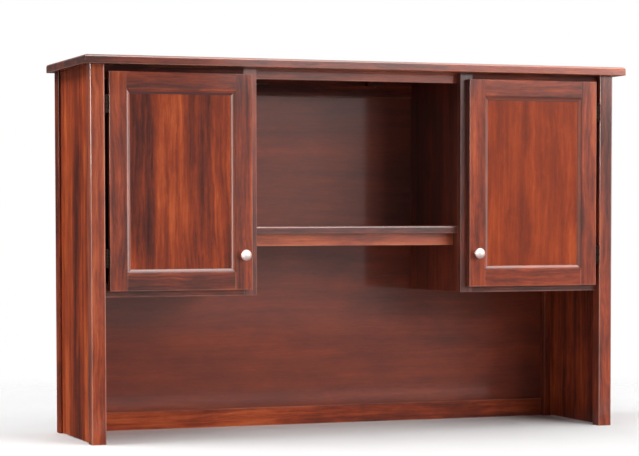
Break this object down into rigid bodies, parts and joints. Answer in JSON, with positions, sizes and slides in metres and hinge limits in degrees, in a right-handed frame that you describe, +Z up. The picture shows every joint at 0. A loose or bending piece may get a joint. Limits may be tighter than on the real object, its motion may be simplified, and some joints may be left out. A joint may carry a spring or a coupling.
{
  "type": "computer hutch",
  "caption": "Red-brown hardwood computer hutch that stands on a desk: framed-door cupboards either side of an open bay with a shelf, on corner posts with an open work space below.",
  "frame": {"origin": "under the middle of the whole outline, on the desk top that the posts stand on", "axes": "+X to the right along the hutch, +Y to the back, +Z up; the doors face -Y"},
  "size_m": [1.652, 0.436, 1.067],
  "materials": {
    "frame_wood": "clear gloss lacquer over red-brown stain",
    "top_wood": "clear gloss lacquer over red-brown stain",
    "panel_veneer": "clear gloss lacquer over red-brown stain, streaked upright grain",
    "back_veneer": "clear lacquer, level grain",
    "inner_board": "clear lacquer",
    "plain_block": "bare",
    "knob_metal": "satin nickel",
    "hinge_metal": "darkened brass",
    "screw_metal": "darkened brass",
    "plated_steel": "zinc plated",
    "catch_plastic": "brown",
    "felt": "brown felt"
  },
  "bodies": {
    "case": {"back_bottom_rail": "frame_wood", "back_panel": "back_veneer", "back_top_rail": "frame_wood", "bay_shelf": "frame_wood", "bay_shelf_apron": "frame_wood", "bay_top_rail": "frame_wood", "catch_screws": "screw_metal", "hinge_pins": "hinge_metal", "left_back_post": "frame_wood", "left_cupboard_floor": "inner_board", "left_cupboard_shelf": "inner_board", "left_divider": "inner_board", "left_floor_cleat": "plain_block", "left_frame_bottom_rail": "frame_wood", "left_frame_stile": "frame_wood", "left_frame_top_rail": "frame_wood", "left_front_post": "frame_wood", "left_post_leaf_screws": "screw_metal", "left_post_leaves": "hinge_metal", "left_side_panel": "panel_veneer", "magnetic_catches": "catch_plastic", "right_back_post": "frame_wood", "right_cupboard_floor": "inner_board", "right_cupboard_shelf": "inner_board", "right_divider": "inner_board", "right_floor_cleat": "plain_block", "right_frame_bottom_rail": "frame_wood", "right_frame_stile": "frame_wood", "right_frame_top_rail": "frame_wood", "right_front_post": "frame_wood", "right_post_leaf_screws": "screw_metal", "right_post_leaves": "hinge_metal", "right_side_panel": "panel_veneer", "shelf_pins": "plated_steel", "top_blocks": "plain_block", "top_board": "top_wood", "top_screws": "screw_metal"},
    "left_door": {"left_door_bottom_rail": "frame_wood", "left_door_dots": "felt", "left_door_hinge_stile": "frame_wood", "left_door_knob": "knob_metal", "left_door_latch_stile": "frame_wood", "left_door_leaf_screws": "screw_metal", "left_door_leaves": "hinge_metal", "left_door_panel": "panel_veneer", "left_door_top_rail": "frame_wood", "left_knob_bolt": "plated_steel", "left_strike_plate": "plated_steel"},
    "right_door": {"right_door_bottom_rail": "frame_wood", "right_door_dots": "felt", "right_door_hinge_stile": "frame_wood", "right_door_knob": "knob_metal", "right_door_latch_stile": "frame_wood", "right_door_leaf_screws": "screw_metal", "right_door_leaves": "hinge_metal", "right_door_panel": "panel_veneer", "right_door_top_rail": "frame_wood", "right_knob_bolt": "plated_steel", "right_strike_plate": "plated_steel"}
  },
  "joints": [
    {"name": "left_door_swing", "type": "hinge", "parent": "case", "child": "left_door", "pos_m": [-0.755, -0.1795, 0.7], "axis": [0, 0, -1], "range_deg": [0, 110]},
    {"name": "right_door_swing", "type": "hinge", "parent": "case", "child": "right_door", "pos_m": [0.755, -0.1795, 0.7], "axis": [0, 0, 1], "range_deg": [0, 110]}
  ]
}
